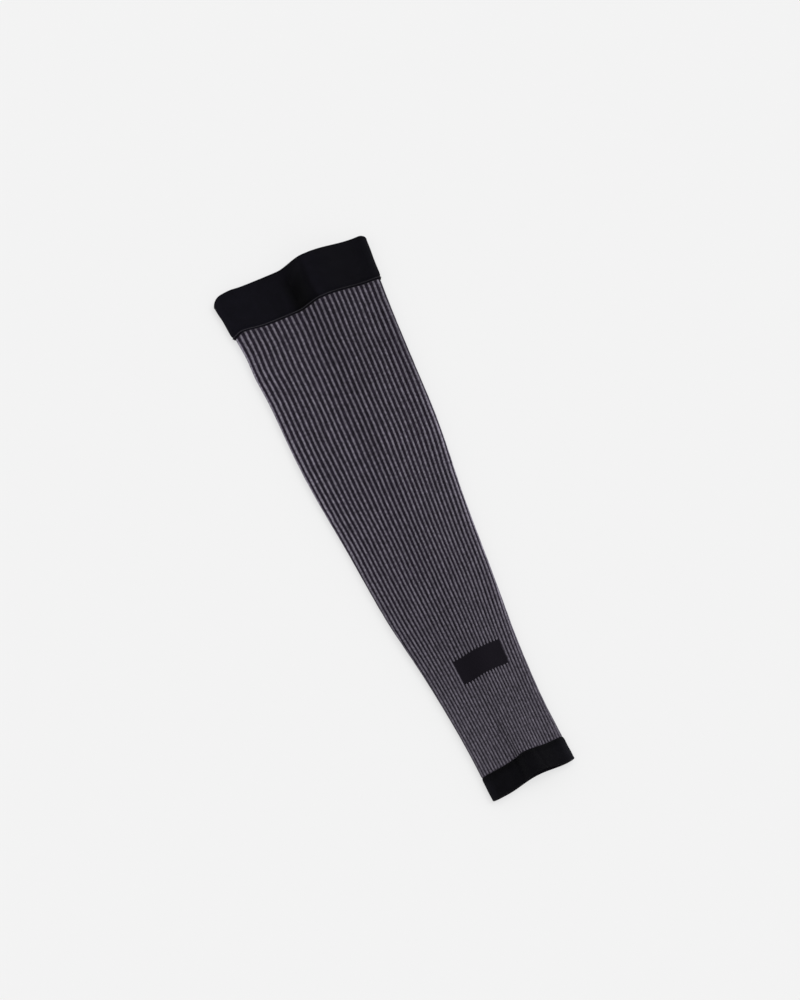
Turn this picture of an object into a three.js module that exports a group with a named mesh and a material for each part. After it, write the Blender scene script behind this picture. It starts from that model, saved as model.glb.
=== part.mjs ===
// A long compression sleeve for the leg, lying flat: a tapered tube of ribbed knit
// with a smooth turned band at the thigh and a smooth cuff at the ankle.
// X runs across the sleeve, Y along it towards the thigh and Z up. The underside lies on Z = 0.
import * as THREE from 'three';

// Driving dimensions, in millimetres
const SLEEVE_LENGTH = 545.5;
const BAND_DEPTH = 49.5;
const CUFF_DEPTH = 23;
const BODY_WALL = 1.9;
const BAND_WALL = 2.2;
const CUFF_WALL = 1.9;
const SEAM_GAP = 0.3;

// Ribs of the knit: how many go round, and how far each stands above the groove beside it
const RIB_COUNT = 60;
const RIB_HEIGHT = 0.7;

// The side folds of the flattened tube: how far they round in from the edge, and how high they stand
const FOLD_REACH = 9;
const FOLD_HEIGHT = 8;

// How far the band and the cuff stand outside the knit
const BAND_PROUD = 1.6;
const CUFF_PROUD = 0.6;

// The band's top edge rounds down at each side fold: how far in from the fold, and how far down
const MOUTH_CORNERS = {
  left: { reach: 10, drop: 7.5 },
  right: { reach: 7, drop: 4 },
};

// The cuff's end edge draws in under the crest: how far, and over which share of the half width each way
const ANKLE_EDGE_DRAW = 2.7;
const ANKLE_EDGE_SPREAD = 1;

// Steps along each piece, and steps round the bottom, right fold, top and left fold of a smooth section
const BODY_STEPS = 14;
const BAND_STEPS = 4;
const CUFF_STEPS = 2;
const SMOOTH_STEPS = [6, 10, 34, 10];

// One row for each cross-section: its distance from the ankle end, its half width, its sideways shift,
// the height of the soft crest along its upper layer, where that crest runs (-1 left fold, 1 right fold),
// and the skew of the knit's courses, which lead at the right fold and lag at the left one
const SECTIONS = [
  { along: 0, halfWidth: 39.0, centre: -0.2, crest: 7.5, crestAt: 0.14, skew: 3.2 },
  { along: 60, halfWidth: 39.9, centre: -2.3, crest: 5.0, crestAt: 0.12, skew: 3 },
  { along: 120, halfWidth: 44.3, centre: -4.0, crest: 5.0, crestAt: 0.16, skew: 3 },
  { along: 180, halfWidth: 52.0, centre: -5.3, crest: 4.8, crestAt: 0.19, skew: 3 },
  { along: 260, halfWidth: 58.8, centre: -5.0, crest: 4.6, crestAt: 0.22, skew: 3 },
  { along: 340, halfWidth: 67.2, centre: -3.6, crest: 4.8, crestAt: 0.23, skew: 3 },
  { along: 420, halfWidth: 70.5, centre: -1.8, crest: 6.0, crestAt: 0.25, skew: 3 },
  { along: 452, halfWidth: 72.5, centre: -1.7, crest: 7.3, crestAt: 0.26, skew: 3 },
  { along: 474, halfWidth: 73.2, centre: -0.9, crest: 8.3, crestAt: 0.27, skew: 3 },
  { along: 496, halfWidth: 75.0, centre: -0.8, crest: 9.0, crestAt: 0.28, skew: 3 },
  { along: 545.5, halfWidth: 79.0, centre: -0.8, crest: 11.0, crestAt: 0.26, skew: 4 },
];

// The upper layer from the left fold to the right one: a shallow valley, then the crest.
// Across is counted from the middle of the section or from its crest, in shares of the half width
// between the folds, and rise in shares of the section's crest height.
const UPPER_LAYER = [
  { name: 'left fold', countedFrom: 'middle', across: -1.0, rise: 0.0 },
  { name: 'valley', countedFrom: 'crest', across: -0.5, rise: -0.12 },
  { name: 'crest', countedFrom: 'crest', across: 0.0, rise: 1.0 },
  { name: 'right fold', countedFrom: 'middle', across: 1.0, rise: 0.0 },
];

// One rib and its groove, in shares of the distance from rib to rib
const RIB_PROFILE = [
  { across: -0.24, raised: true },
  { across: 0.24, raised: true },
  { across: 0.36, raised: false },
  { across: 0.64, raised: false },
];

// The value of one named column of SECTIONS at any distance along, on a smooth curve through its rows
function smoothColumn(column, along) {
  const last = SECTIONS.length - 1;
  const slopeAt = (index) => {
    const before = SECTIONS[Math.max(index - 1, 0)];
    const after = SECTIONS[Math.min(index + 1, last)];
    return (after[column] - before[column]) / (after.along - before.along);
  };
  let row = 0;
  while (row < last - 1 && along > SECTIONS[row + 1].along) row += 1;
  const start = SECTIONS[row];
  const end = SECTIONS[row + 1];
  const span = end.along - start.along;
  const t = (along - start.along) / span;
  const startWeight = 2 * t ** 3 - 3 * t ** 2 + 1;
  const startPull = (t ** 3 - 2 * t ** 2 + t) * span * slopeAt(row);
  const endPull = (t ** 3 - t ** 2) * span * slopeAt(row + 1);
  return start[column] * startWeight + startPull + end[column] * (1 - startWeight) + endPull;
}

function sectionAt(along, proud = 0) {
  return {
    along,
    halfWidth: smoothColumn('halfWidth', along) + proud,
    centre: smoothColumn('centre', along),
    crest: smoothColumn('crest', along),
    crestAt: smoothColumn('crestAt', along),
    skew: smoothColumn('skew', along),
  };
}

// How high the upper layer stands above the side folds, in shares of the crest height
function upperRise(across, crestAt) {
  const stops = UPPER_LAYER.map((stop) => ({
    across: stop.countedFrom === 'crest' ? crestAt + stop.across : stop.across,
    rise: stop.rise,
  }));
  let index = 0;
  while (index < stops.length - 2 && across > stops[index + 1].across) index += 1;
  const from = stops[index];
  const to = stops[index + 1];
  const share = (across - from.across) / (to.across - from.across);
  const ease = (1 - Math.cos(Math.PI * share)) / 2;
  return from.rise + (to.rise - from.rise) * ease;
}

// The upper layer of a section as a curve from the right fold to the left one
class UpperLayerCurve extends THREE.Curve {
  constructor(section, inset) {
    super();
    this.section = section;
    this.inset = inset;
  }

  getPoint(t) {
    const { halfWidth, centre, crest, crestAt } = this.section;
    const across = 1 - 2 * t;
    const height = FOLD_HEIGHT - this.inset + crest * upperRise(across, crestAt);
    return new THREE.Vector2(centre + across * (halfWidth - FOLD_REACH), height);
  }
}

// The outline of a section, set in from the outer face: bottom, right fold, upper layer, left fold
function sectionPath(section, inset) {
  const flat = section.halfWidth - FOLD_REACH;
  const left = section.centre - flat;
  const right = section.centre + flat;
  const foldReach = FOLD_REACH - inset;
  const foldRise = FOLD_HEIGHT / 2 - inset;
  const down = -Math.PI / 2;
  const up = Math.PI / 2;
  const path = new THREE.CurvePath();
  path.add(new THREE.LineCurve(new THREE.Vector2(left, inset), new THREE.Vector2(right, inset)));
  path.add(new THREE.EllipseCurve(right, FOLD_HEIGHT / 2, foldReach, foldRise, down, up));
  path.add(new UpperLayerCurve(section, inset));
  path.add(new THREE.EllipseCurve(left, FOLD_HEIGHT / 2, foldReach, foldRise, up, up + Math.PI));
  return path;
}

// A place on a path is the number of the curve plus the share of that curve's length
function placeAtShare(path, share) {
  const lengths = path.getCurveLengths();
  const distance = (share - Math.floor(share)) * lengths[lengths.length - 1];
  const curve = lengths.findIndex((length) => distance < length);
  const before = curve === 0 ? 0 : lengths[curve - 1];
  return curve + (distance - before) / (lengths[curve] - before);
}

function pointAtPlace(path, place) {
  const curve = Math.floor(place);
  return path.curves[curve].getPointAt(place - curve);
}

// Sets a flat point of a section in space, with the skew of the courses and the shift of an end edge
function inSpace(point, section, edgeShift) {
  const fromCentre = point.x - section.centre;
  const y = section.along + (section.skew * fromCentre) / section.halfWidth + edgeShift(section, fromCentre);
  return new THREE.Vector3(point.x, y, point.y);
}

const straightEdge = () => 0;

// The top edge of the band rounds down towards each side fold, as a quarter of an ellipse
function mouthEdge(section, fromCentre) {
  const { reach, drop } = fromCentre < 0 ? MOUTH_CORNERS.left : MOUTH_CORNERS.right;
  const past = Math.abs(fromCentre) - (section.halfWidth - reach);
  const share = THREE.MathUtils.clamp(past / reach, 0, 1);
  return -drop * (1 - Math.sqrt(1 - share ** 2));
}

// The end edge of the cuff draws in under the crest, less and less towards the knit
function ankleEdge(section, fromCentre) {
  const fromCrest = fromCentre / (section.halfWidth - FOLD_REACH) - section.crestAt;
  const share = THREE.MathUtils.clamp(fromCrest / ANKLE_EDGE_SPREAD, -1, 1);
  const drawn = (1 + Math.cos(Math.PI * share)) / 2;
  return ANKLE_EDGE_DRAW * (1 - section.along / CUFF_DEPTH) * drawn;
}

// A smooth ring: few points on the flat bottom, more round the folds and over the crest
function smoothRing(section, inset, edgeShift = straightEdge) {
  const path = sectionPath(section, inset);
  return SMOOTH_STEPS.flatMap((steps, curve) =>
    Array.from({ length: steps }, (_, step) => {
      const place = curve + step / steps;
      return { place, point: inSpace(pointAtPlace(path, place), section, edgeShift) };
    }),
  );
}

// A ribbed ring: the ribs keep equal distances round the section
function ribbedRing(section) {
  const ridgePath = sectionPath(section, 0);
  const groovePath = sectionPath(section, RIB_HEIGHT);
  const ring = [];
  for (let rib = 0; rib < RIB_COUNT; rib += 1) {
    for (const corner of RIB_PROFILE) {
      const share = (rib + 0.5 + corner.across) / RIB_COUNT;
      const place = placeAtShare(ridgePath, share);
      const path = corner.raised ? ridgePath : groovePath;
      ring.push({ place, point: inSpace(pointAtPlace(path, place), section, straightEdge) });
    }
  }
  return ring.sort((a, b) => a.place - b.place);
}

// The closed wall between a stack of outer rings and a stack of inner rings
function wallGeometry(outerRings, innerRings) {
  const positions = [];
  const triangles = [];

  const addRing = (ring) => {
    const first = positions.length / 3;
    for (const { point } of ring) positions.push(point.x, point.y, point.z);
    return { first, ring };
  };

  const addSkin = (rings, facesOut) => {
    const stack = rings.map(addRing);
    for (let row = 0; row + 1 < stack.length; row += 1) {
      const count = stack[row].ring.length;
      for (let column = 0; column < count; column += 1) {
        const next = (column + 1) % count;
        const a = stack[row].first + column;
        const b = stack[row].first + next;
        const c = stack[row + 1].first + next;
        const d = stack[row + 1].first + column;
        if (facesOut) triangles.push(a, d, c, a, c, b);
        else triangles.push(a, c, d, a, b, c);
      }
    }
    return stack;
  };

  // Joins an outer ring to an inner one by stepping round both in order of place
  const addRim = (outer, inner, facesThigh) => {
    const outerCount = outer.ring.length;
    const innerCount = inner.ring.length;
    const turns = (loop, index) => {
      const count = loop.ring.length;
      return loop.ring[index % count].place + Math.floor(index / count) * SMOOTH_STEPS.length;
    };
    let i = 0;
    let j = 0;
    while (i < outerCount || j < innerCount) {
      const outerNow = outer.first + (i % outerCount);
      const innerNow = inner.first + (j % innerCount);
      const stepOuter = j === innerCount || (i < outerCount && turns(outer, i + 1) <= turns(inner, j + 1));
      const reached = stepOuter
        ? outer.first + ((i + 1) % outerCount)
        : inner.first + ((j + 1) % innerCount);
      if (facesThigh) triangles.push(outerNow, innerNow, reached);
      else triangles.push(outerNow, reached, innerNow);
      if (stepOuter) i += 1;
      else j += 1;
    }
  };

  const outer = addSkin(outerRings, true);
  const inner = addSkin(innerRings, false);
  addRim(outer[0], inner[0], false);
  addRim(outer[outer.length - 1], inner[inner.length - 1], true);

  const geometry = new THREE.BufferGeometry();
  geometry.setAttribute('position', new THREE.Float32BufferAttribute(positions, 3));
  geometry.setIndex(triangles);
  geometry.computeVertexNormals();
  return geometry;
}

function evenSteps(from, to, steps) {
  return Array.from({ length: steps + 1 }, (_, step) => from + ((to - from) * step) / steps);
}

function makeSleeveBody() {
  const from = CUFF_DEPTH + SEAM_GAP / 2;
  const to = SLEEVE_LENGTH - BAND_DEPTH - SEAM_GAP / 2;
  const sections = evenSteps(from, to, BODY_STEPS).map((along) => sectionAt(along));
  const outer = sections.map(ribbedRing);
  const inner = sections.map((section) => smoothRing(section, BODY_WALL));
  const material = new THREE.MeshStandardMaterial({ color: '#4a474f', roughness: 0.9, metalness: 0 });
  const mesh = new THREE.Mesh(wallGeometry(outer, inner), material);
  mesh.name = 'sleeve_body';
  return mesh;
}

function makeThighBand() {
  const from = SLEEVE_LENGTH - BAND_DEPTH + SEAM_GAP / 2;
  const sections = evenSteps(from, SLEEVE_LENGTH, BAND_STEPS).map((along) => sectionAt(along, BAND_PROUD));
  const mouth = sections.length - 1;
  const ring = (section, inset, row) => smoothRing(section, inset, row === mouth ? mouthEdge : straightEdge);
  const outer = sections.map((section, row) => ring(section, 0, row));
  const inner = sections.map((section, row) => ring(section, BAND_WALL, row));
  const material = new THREE.MeshStandardMaterial({ color: '#151418', roughness: 0.85, metalness: 0 });
  const mesh = new THREE.Mesh(wallGeometry(outer, inner), material);
  mesh.name = 'thigh_band';
  return mesh;
}

function makeAnkleCuff() {
  const to = CUFF_DEPTH - SEAM_GAP / 2;
  const sections = evenSteps(0, to, CUFF_STEPS).map((along) => sectionAt(along, CUFF_PROUD));
  const outer = sections.map((section) => smoothRing(section, 0, ankleEdge));
  const inner = sections.map((section) => smoothRing(section, CUFF_WALL, ankleEdge));
  const material = new THREE.MeshStandardMaterial({ color: '#161519', roughness: 0.85, metalness: 0 });
  const mesh = new THREE.Mesh(wallGeometry(outer, inner), material);
  mesh.name = 'ankle_cuff';
  return mesh;
}

// The origin lies under the middle of the sleeve's box
function centreOnFloor(group) {
  const box = new THREE.Box3().setFromObject(group);
  group.position.set(-(box.min.x + box.max.x) / 2, -(box.min.y + box.max.y) / 2, -box.min.z);
}

const sleeve = new THREE.Group();
sleeve.add(makeSleeveBody(), makeThighBand(), makeAnkleCuff());
centreOnFloor(sleeve);

export default sleeve;
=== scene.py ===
"""Looks of a long ribbed compression sleeve for the leg, lying flat on a pale surface."""

import math

import bpy
import numpy as np
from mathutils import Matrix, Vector


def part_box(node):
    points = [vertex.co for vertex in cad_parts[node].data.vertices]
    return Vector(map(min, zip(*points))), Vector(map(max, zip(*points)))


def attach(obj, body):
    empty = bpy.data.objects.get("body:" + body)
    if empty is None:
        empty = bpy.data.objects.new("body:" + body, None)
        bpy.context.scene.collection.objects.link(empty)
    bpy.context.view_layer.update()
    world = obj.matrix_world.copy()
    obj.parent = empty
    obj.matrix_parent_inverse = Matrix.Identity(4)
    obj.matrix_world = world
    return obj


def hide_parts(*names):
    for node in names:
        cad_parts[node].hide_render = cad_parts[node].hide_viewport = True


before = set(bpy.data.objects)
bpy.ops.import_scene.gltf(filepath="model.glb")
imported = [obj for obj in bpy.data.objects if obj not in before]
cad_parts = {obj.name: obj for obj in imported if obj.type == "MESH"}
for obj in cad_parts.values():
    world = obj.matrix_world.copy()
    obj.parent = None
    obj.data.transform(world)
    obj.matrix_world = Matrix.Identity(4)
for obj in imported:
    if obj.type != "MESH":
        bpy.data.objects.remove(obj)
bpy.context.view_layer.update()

# Sizes of the sleeve in millimetres, as in the solids
MM = 0.001
SLEEVE_LENGTH = 545.5
BAND_DEPTH = 49.5
CUFF_DEPTH = 23.0
BODY_WALL = 1.9
BAND_WALL = 2.2
CUFF_WALL = 1.9
RIB_COUNT = 60
RIB_HEIGHT = 0.7
FOLD_REACH = 9.0
FOLD_HEIGHT = 8.0
BAND_PROUD = 1.6
CUFF_PROUD = 0.6
ANKLE_EDGE_DRAW = 2.7
ANKLE_EDGE_SPREAD = 1.0

# One row for each cross-section, from the ankle end to the thigh end
SECTION_COLUMNS = ("along", "half_width", "centre", "crest", "crest_at", "skew")
SECTIONS = np.array([
    (0.0, 39.0, -0.2, 7.5, 0.14, 3.2),
    (60.0, 39.9, -2.3, 5.0, 0.12, 3.0),
    (120.0, 44.3, -4.0, 5.0, 0.16, 3.0),
    (180.0, 52.0, -5.3, 4.8, 0.19, 3.0),
    (260.0, 58.8, -5.0, 4.6, 0.22, 3.0),
    (340.0, 67.2, -3.6, 4.8, 0.23, 3.0),
    (420.0, 70.5, -1.8, 6.0, 0.25, 3.0),
    (452.0, 72.5, -1.7, 7.3, 0.26, 3.0),
    (474.0, 73.2, -0.9, 8.3, 0.27, 3.0),
    (496.0, 75.0, -0.8, 9.0, 0.28, 3.0),
    (545.5, 79.0, -0.8, 11.0, 0.26, 4.0),
])

# The upper layer's valley lies this far left of the crest, and this share of the crest height deep
VALLEY_FROM_CREST = -0.5
VALLEY_RISE = -0.12

# The crest's left slope is steepest in the band and near the cuff, with a crease along its foot:
# each row holds the distance along, the steepness and the crease's depth in millimetres
SLOPE_ROWS = np.array([
    (0.0, 1.0, 0.0),
    (14.0, 1.8, 0.5),
    (28.0, 1.8, 0.4),
    (70.0, 1.0, 0.0),
    (470.0, 1.0, 0.0),
    (496.0, 1.25, 0.15),
    (508.0, 1.8, 0.9),
    (530.0, 1.8, 0.9),
    (545.5, 1.25, 0.2),
])
CREASE_FROM_CREST = -0.37
CREASE_WIDTH = 2.6

# The band's painted shade stripe on the slope beside the crease: from and to, counted from the crest
STRIPE_FROM_CREST = (-0.375, -0.115)

# Rounded corners of the band's mouth, and how far its edge bulges beside the left one
MOUTH_LEFT_REACH = 12.0
MOUTH_LEFT_DROP = 11.8
MOUTH_RIGHT_REACH = 7.0
MOUTH_RIGHT_DROP = 4.8
MOUTH_CORNER_SOFTNESS = 0.97
MOUTH_BULGE = 1.0
MOUTH_BULGE_FROM_LEFT = 20.0
MOUTH_BULGE_WIDTH = 7.5

# How far the seams bow along the sleeve: the band's beside its left fold, the cuff's over its middle
BAND_BOW = 3.0
BAND_BOW_FROM_LEFT = 11.0
BAND_BOW_WIDTHS = (7.0, 14.0)
BAND_BOW_REACH = 22.0
CUFF_BOW = 1.7
CUFF_BOW_DROP = 1.3
CUFF_BOW_WIDTH = 16.0
CUFF_BOW_REACH = 12.0

# Where the knit pieces meet, the seam line of the band and the length of a rib's rounded tip
BAND_LOW = SLEEVE_LENGTH - BAND_DEPTH
PIECE_GAP = 0.05
SEAM_ABOVE_EDGE = 1.9
RIB_TIP_LENGTH = 1.8

# Half the width of a rib in shares of the pitch: the ribs crowd together towards the ankle
HALF_RIB_ALONG = (0.0, 150.0, 400.0)
HALF_RIB_SHARES = (0.30, 0.28, 0.25)

# How the ribs wander and swell: their reach in ribs and in millimetres, then the amounts
WANDER_RIBS = 6.0
WANDER_LENGTH = 70.0
RIB_WANDER = 0.035
RIB_SWELL = 0.10
SWELL_FINENESS = (2.5, 3.5)

# The band's face: its border lies inward, with a ridge along the seam and a soft welt above that
BORDER_DEPTH = 0.75
RIDGE_HEIGHT = 0.4
RIDGE_WIDTH = 0.6
WELT_ABOVE_SEAM = 2.2
WELT_SOFTNESS = 0.6

# The cuff's face steps inward at its seam
CUFF_STEP_DEPTH = 0.65
CUFF_STEP_WIDTH = 1.3

# Shallow dents of the smooth knit: waves round it, length of a wave, depth, base level and seed
BAND_DENTS = (2.2, 30.0, 0.14, 0.16, 11)
CUFF_DENTS = (1.6, 14.0, 0.12, 0.12, 17)

# Stitches of the band's seam: spacing, where in it each one starts, centres and ends, half sizes,
# lean in radians and how far they sink into the knit
STITCH_SPACING = 2.1
STITCH_ENDS_AND_MIDDLE = (0.3, 0.5, 0.7)
STITCH_HALF_SIZES = (1.05, 0.42, 0.25)
STITCH_LEAN = 0.16
STITCH_LEAN_SPREAD = 0.05
STITCH_SINK = 0.42

# Fineness of the meshes and of what is measured on them
OUTLINE_STEPS = (160, 120, 420, 120)
RIB_COLUMN_PLACES = (-0.5, -0.38, -0.30, -0.25, -0.17, -0.085, 0.0, 0.085, 0.17, 0.25, 0.30, 0.38)
BODY_ROWS = 88
BODY_FINE_ROWS = 9
BODY_FINE_REACH = 3.0
BODY_INNER_ROWS = 16
BAND_COLUMNS = 560
BAND_FINE_ROWS = 30
BAND_FINE_DEPTH = 9.0
BAND_PLAIN_ROWS = 34
BAND_PLAIN_GAP = 1.0
BAND_INNER_ROWS = 16
BAND_LIP_GAP = 0.8
BAND_INNER_LIP_GAP = 2.0
CUFF_COLUMNS = 420
CUFF_ROWS = 30
CUFF_INNER_ROWS = 10
CUFF_LIP_GAP = 1.0
LIP_STEPS = 9
STITCH_SIDES = 8
STITCH_STEPS = 6
TANGENT_STEP = 0.25

# Creases of the cuff: place round it and lean, in shares of the round, then depth and width
CUFF_CREASES = (
    (0.600, 0.012, 0.55, 0.012),
    (0.665, -0.020, 0.60, 0.018),
    (0.735, 0.010, 0.75, 0.014),
    (0.790, -0.012, 0.50, 0.013),
    (0.870, 0.015, 0.45, 0.019),
    (0.130, 0.010, 0.45, 0.016),
    (0.310, -0.015, 0.50, 0.014),
)

# Layout of the unrolled texture map: edge margin, least height of a row and share of the inside
BAKE_MARGIN = 0.004
BAKE_LEAST_STEP = 0.3
BAKE_INSIDE_SHARE = 0.3

# Scale of the knit: height of a course in the ribs and in the smooth knit, and how many wales go round
COURSE_HEIGHT = 1.15
SMOOTH_COURSE_HEIGHT = 0.85
BAND_WALES_ROUND = 330
CUFF_WALES_ROUND = 205

# The knitted-in dark block near the ankle: from and to along and across, and its height over the ground
BLOCK_ALONG = (100.0, 124.5)
BLOCK_SIDES = (-20.5, 23.0)
BLOCK_LEVEL = 0.2


# Shape of the sleeve


def column(name, along):
    """One named column of SECTIONS at any distance along, on a smooth curve through its rows."""
    places = SECTIONS[:, 0]
    values = SECTIONS[:, SECTION_COLUMNS.index(name)]
    before = np.maximum(np.arange(len(places)) - 1, 0)
    after = np.minimum(np.arange(len(places)) + 1, len(places) - 1)
    slopes = (values[after] - values[before]) / (places[after] - places[before])
    row = int(np.clip(np.searchsorted(places, along, side="right") - 1, 0, len(places) - 2))
    span = places[row + 1] - places[row]
    t = (along - places[row]) / span
    start_weight = 2 * t**3 - 3 * t**2 + 1
    start_pull = (t**3 - 2 * t**2 + t) * span * slopes[row]
    end_pull = (t**3 - t**2) * span * slopes[row + 1]
    return values[row] * start_weight + start_pull + values[row + 1] * (1 - start_weight) + end_pull


def upper_rise(across, crest_at, steepness):
    """Height of the upper layer above the side folds, in shares of the crest height."""
    stops = np.array([-1.0, crest_at + VALLEY_FROM_CREST, crest_at, 1.0])
    rises = np.array([0.0, VALLEY_RISE, 1.0, 0.0])
    step = np.clip(np.searchsorted(stops, across, side="right") - 1, 0, len(stops) - 2)
    share = (across - stops[step]) / (stops[step + 1] - stops[step])
    share = np.where(step == 1, 0.5 + (share - 0.5) * steepness, share)
    ease = (1 - np.cos(np.pi * np.clip(share, 0, 1))) / 2
    return rises[step] + (rises[step + 1] - rises[step]) * ease


def section_outline(along, inset, proud):
    """Closed outline of a section as x and z: bottom, right fold, upper layer, left fold."""
    flat = column("half_width", along) + proud - FOLD_REACH
    centre = column("centre", along)
    crest_at = column("crest_at", along)
    middle = FOLD_HEIGHT / 2
    reach = FOLD_REACH - inset
    rise = middle - inset
    bottom, right, upper, left = (np.arange(steps) / steps for steps in OUTLINE_STEPS)
    across = 1 - 2 * upper
    right_angle = np.pi * (right - 0.5)
    left_angle = np.pi * (left + 0.5)
    steepness = np.interp(along, SLOPE_ROWS[:, 0], SLOPE_ROWS[:, 1])
    crease_depth = np.interp(along, SLOPE_ROWS[:, 0], SLOPE_ROWS[:, 2])
    from_crease = (across - crest_at - CREASE_FROM_CREST) * flat / CREASE_WIDTH
    heights = FOLD_HEIGHT - inset + column("crest", along) * upper_rise(across, crest_at, steepness)
    heights = heights - crease_depth * np.exp(-(from_crease**2))
    x = np.concatenate([
        centre + flat * (2 * bottom - 1),
        centre + flat + reach * np.cos(right_angle),
        centre + flat * across,
        centre - flat + reach * np.cos(left_angle),
    ])
    z = np.concatenate([
        np.full_like(bottom, inset),
        middle + rise * np.sin(right_angle),
        heights,
        middle + rise * np.sin(left_angle),
    ])
    return np.append(x, x[0]), np.append(z, z[0])


def outline_lengths(x, z):
    """Distance round an outline up to each of its points."""
    return np.concatenate([[0.0], np.cumsum(np.hypot(np.diff(x), np.diff(z)))])


def straight_edge(along, from_centre, half_width):
    """No shift along the sleeve."""
    return np.zeros_like(from_centre)


def mouth_edge(along, from_centre, half_width):
    """The band's top edge rounds down at each side fold and bulges on the left, over its upper half."""
    reach = np.where(from_centre < 0, MOUTH_LEFT_REACH, MOUTH_RIGHT_REACH)
    drop = np.where(from_centre < 0, MOUTH_LEFT_DROP, MOUTH_RIGHT_DROP)
    share = MOUTH_CORNER_SOFTNESS * np.clip((np.abs(from_centre) - half_width + reach) / reach, 0, 1)
    from_bulge = (from_centre + half_width - MOUTH_BULGE_FROM_LEFT) / MOUTH_BULGE_WIDTH
    bulge = MOUTH_BULGE * np.exp(-(from_bulge**2))
    upper_half = np.clip((along - BAND_LOW) / BAND_DEPTH * 2 - 1, 0, 1)
    return (bulge - drop * (1 - np.sqrt(1 - share**2))) * upper_half


def ankle_edge(along, from_centre, half_width):
    """The cuff's end edge draws in under the crest."""
    from_crest = from_centre / (half_width - FOLD_REACH) - column("crest_at", max(along, 0.0))
    drawn = (1 + np.cos(np.pi * np.clip(from_crest / ANKLE_EDGE_SPREAD, -1, 1))) / 2
    return ANKLE_EDGE_DRAW * np.clip(1 - along / CUFF_DEPTH, 0, 1) * drawn


def seam_bow(along, from_centre, half_width):
    """Shift along the sleeve that bows the two seams, fading out on either side of each."""
    from_left = from_centre + half_width - BAND_BOW_FROM_LEFT
    outer_width, inner_width = BAND_BOW_WIDTHS
    band_share = np.exp(-((from_left / np.where(from_left < 0, outer_width, inner_width)) ** 2))
    cuff_share = np.exp(-((from_centre / CUFF_BOW_WIDTH) ** 2))
    near_band = math.exp(-(((along - BAND_LOW) / BAND_BOW_REACH) ** 2))
    near_cuff = math.exp(-(((along - CUFF_DEPTH) / CUFF_BOW_REACH) ** 2))
    return BAND_BOW * band_share * near_band + (CUFF_BOW * cuff_share - CUFF_BOW_DROP) * near_cuff


def ring(along, shares, inset=0.0, relief=0.0, proud=0.0, edge=straight_edge):
    """Points of one ring in the row's frame, in metres. Relief lies outward along the surface."""
    place = float(np.clip(along, 0.0, SLEEVE_LENGTH))
    x, z = section_outline(place, inset, proud)
    lengths = outline_lengths(x, z)
    at = (shares % 1.0) * lengths[-1]
    ahead = (at + TANGENT_STEP) % lengths[-1]
    behind = (at - TANGENT_STEP) % lengths[-1]
    tangent_x = np.interp(ahead, lengths, x) - np.interp(behind, lengths, x)
    tangent_z = np.interp(ahead, lengths, z) - np.interp(behind, lengths, z)
    size = np.hypot(tangent_x, tangent_z)
    point_x = np.interp(at, lengths, x) + relief * tangent_z / size
    point_z = np.interp(at, lengths, z) - relief * tangent_x / size
    half_width = column("half_width", place) + proud
    from_centre = point_x - column("centre", place)
    y = along + column("skew", place) * from_centre / half_width
    y = y + edge(along, from_centre, half_width) + seam_bow(along, from_centre, half_width)
    return np.stack([point_x + x_shift, y + y_shift, point_z], axis=1) * MM


def ring_length(along, proud=0.0):
    """Length round the sleeve's outer face, in millimetres."""
    return float(outline_lengths(*section_outline(float(along), 0.0, proud))[-1])


# The solids are centred on their box, so their place gives the shift from the sleeve's own axis
band_low_corner, band_high_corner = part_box("thigh_band")
cuff_low_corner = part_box("ankle_cuff")[0]
x_shift = (band_low_corner[0] + band_high_corner[0]) / 2 / MM - column("centre", SLEEVE_LENGTH)
y_shift = cuff_low_corner[1] / MM + column("skew", 0.0)


def smooth_noise(points, seed, waves=7, frequencies=(0.6, 1.6)):
    """Soft even noise between about -1 and 1: a sum of seeded plane waves."""
    random = np.random.default_rng(seed)
    total = np.zeros(points.shape[:-1])
    for _ in range(waves):
        direction = random.normal(size=points.shape[-1])
        direction = direction / np.linalg.norm(direction) * random.uniform(*frequencies)
        total = total + np.sin(points @ direction * 2 * np.pi + random.uniform(0, 2 * np.pi))
    return total / math.sqrt(waves)


# Meshes


def wall_mesh(name, rings, knit_u, knit_v, outer_rows, materials):
    """A closed wall from a loop of rings: up the outside, over the edge and down the inside."""
    ring_count, column_count = rings.shape[:2]
    row, col = np.meshgrid(np.arange(ring_count), np.arange(column_count), indexing="ij")
    next_row = (row + 1) % ring_count
    next_col = (col + 1) % column_count
    corners = [(row, col), (next_row, col), (next_row, next_col), (row, next_col)]
    faces = np.stack([r * column_count + c for r, c in corners], axis=-1).reshape(-1, 4)
    mesh = bpy.data.meshes.new(name)
    mesh.vertices.add(ring_count * column_count)
    mesh.vertices.foreach_set("co", rings.reshape(-1))
    mesh.loops.add(faces.size)
    mesh.loops.foreach_set("vertex_index", faces.reshape(-1))
    mesh.polygons.add(len(faces))
    mesh.polygons.foreach_set("loop_start", np.arange(0, faces.size, 4))
    mesh.polygons.foreach_set("use_smooth", np.ones(len(faces), dtype=bool))
    for material in materials:
        mesh.materials.append(material)
    inside = (row >= outer_rows).reshape(-1)
    mesh.polygons.foreach_set("material_index", np.where(inside, len(materials) - 1, 0).astype(np.int32))
    mesh.update(calc_edges=True)
    add_knit_map(mesh, knit_u, knit_v, ring_count, column_count)
    add_bake_map(mesh, knit_v, outer_rows, ring_count, column_count)
    add_fold_share(mesh, rings, knit_v)
    mesh.validate()
    piece = bpy.data.objects.new(name, mesh)
    bpy.context.collection.objects.link(piece)
    return piece


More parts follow.
